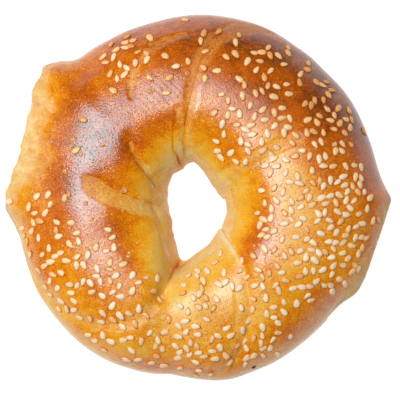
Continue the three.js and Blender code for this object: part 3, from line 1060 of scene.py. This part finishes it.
def make_seeds(seeds, places):
    around, over, _, size, _, _ = seeds.T
    point, up = seed_axes(seeds)
    _, _, out = skin_axes(around, over)
    chance = np.random.default_rng(DRAW_SEED)
    browned = np.clip(brown_at(around, over) - TOAST_BROWN_FROM, 0, TOAST_BROWN_REACH)
    toast = TOAST_LEAST + TOAST_BY_CHANCE * chance.beta(*TOAST_CURVE, len(seeds)) + TOAST_BY_BROWN * browned
    shapes = size[:, None] * chance.uniform(*SEED_SHAPES, (len(seeds), 3))
    tree = strewing_tree("strewn_seeds", SEED_SIZES, seed_shape)
    places = places + out * (SEED_LIFT + fine_relief(around, over, places))[:, None]
    return make_strewn("sesame_seeds", tree, seed_material(), places, up, point, shapes, toast=toast)


def fine_places(around, over):
    """Points on the fine skin, and the directions along the ring, over the rope and out of it."""
    places = skin_point(around, over)
    along, across, out = skin_axes(around, over)
    return places + out * fine_relief(around, over, places)[:, None], along, across, out


def make_blisters():
    around, over, size = np.array(BLISTERS, float).T
    places, along, across, out = fine_places(around, over)
    shapes = size[:, None] * np.array(BLISTER_SHAPE)
    tree = strewing_tree("popped_blisters", BLISTER_SIZES, blister_shape)
    return make_strewn(
        "glaze_blisters", tree, blister_material(), places, out, unit(along + across), shapes)


def make_crumbs():
    """Bits of glaze in their patches, and one charred crumb near the rim."""
    chance = np.random.default_rng(DRAW_SEED + 1)
    spots = [(*CHARRED_CRUMB, 1.0)]
    for around, over, wide, tall, count in CRUMB_PATCHES.values():
        for _ in range(count):
            place = (around + wide * chance.normal(), over + tall * chance.normal())
            spots.append((*place, chance.uniform(*CRUMB_SPREAD), 0.0))
    around, over, size, char = np.array(spots).T
    places, along, across, out = fine_places(around, over)
    spin = chance.uniform(0, 2 * np.pi, len(around))[:, None]
    point = along * np.cos(spin) + across * np.sin(spin)
    shapes = size[:, None] * chance.uniform(*CRUMB_SHAPES, (len(around), 3))
    tree = strewing_tree("strewn_crumbs", CRUMB_SIZES, crumb_shape)
    return make_strewn("glaze_crumbs", tree, crumb_material(), places, out, point, shapes, char=char)


# ---- the stage


def make_floor():
    """Plain and pale, just under the bagel."""
    finish = {
        "Base Color": (0.08, 0.08, 0.08, 1), "Roughness": 0.9, "Emission Color": (1, 1, 1, 1),
        "Emission Strength": 0.97}
    half = 3.0
    low = -0.0003
    mesh = bpy.data.meshes.new("floor")
    corners = [(-half, -half, low), (half, -half, low), (half, half, low), (-half, half, low)]
    mesh.from_pydata(corners, [], [(0, 1, 2, 3)])
    mesh.materials.append(new_material("pale_floor", finish)[0])
    floor = new_object("floor", mesh)


def make_softbox(name, place, size, power, shade):
    """A soft lamp that faces the bagel."""
    light = bpy.data.lights.new(name, "AREA")
    light.shape = "ELLIPSE"
    light.size, light.size_y = size
    light.energy = power
    light.color = shade
    lamp = new_object(name, light)
    lamp.location = x, y, z = place
    lamp.rotation_euler = (math.atan2(-y, z), math.atan2(x, math.hypot(y, z)), 0)


def make_studio():
    """A plain pale floor under soft studio light."""
    make_floor()
    make_softbox(
        "overhead", place=(-0.3, 0.16, 1.0), size=(0.84, 0.7), power=10.9, shade=(0.96, 0.985, 1.0))
    make_softbox("key", place=(-0.38, -0.02, 1.0), size=(0.3, 0.4), power=1.0, shade=(1.0, 0.99, 0.97))

    world = bpy.data.worlds.new("studio")
    world.use_nodes = True
    sky = world.node_tree.nodes["Background"]
    sky.inputs["Color"].default_value = (1, 1, 1, 1)
    sky.inputs["Strength"].default_value = 0.03
    bpy.context.scene.world = world
    bpy.context.scene.view_settings.view_transform = "Standard"


def make_camera():
    """Straight above, far enough off to show little of the sides."""
    height = 0.75
    waist = 0.016  # the height at which the frame's width is measured
    frame_width = 0.128
    middle = (0.0008, -0.0007)  # the bagel lies a little off the frame's middle
    camera = bpy.data.cameras.new("camera")
    camera.sensor_width = 36
    camera.lens = camera.sensor_width * (height - waist) / frame_width
    stand = new_object("camera", camera)
    stand.location = (*middle, height)
    bpy.context.scene.camera = stand


make_camera()
make_studio()
strewn, seed_places = strew_seeds()
dough = make_dough(seed_places)
seeds = make_seeds(strewn, seed_places)
blisters = make_blisters()
crumbs = make_crumbs()
for piece, slot in ((dough, "crust"), (seeds, "sesame"), (blisters, "crust"), (crumbs, "crust")):
    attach(piece, "root")
    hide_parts("bagel")
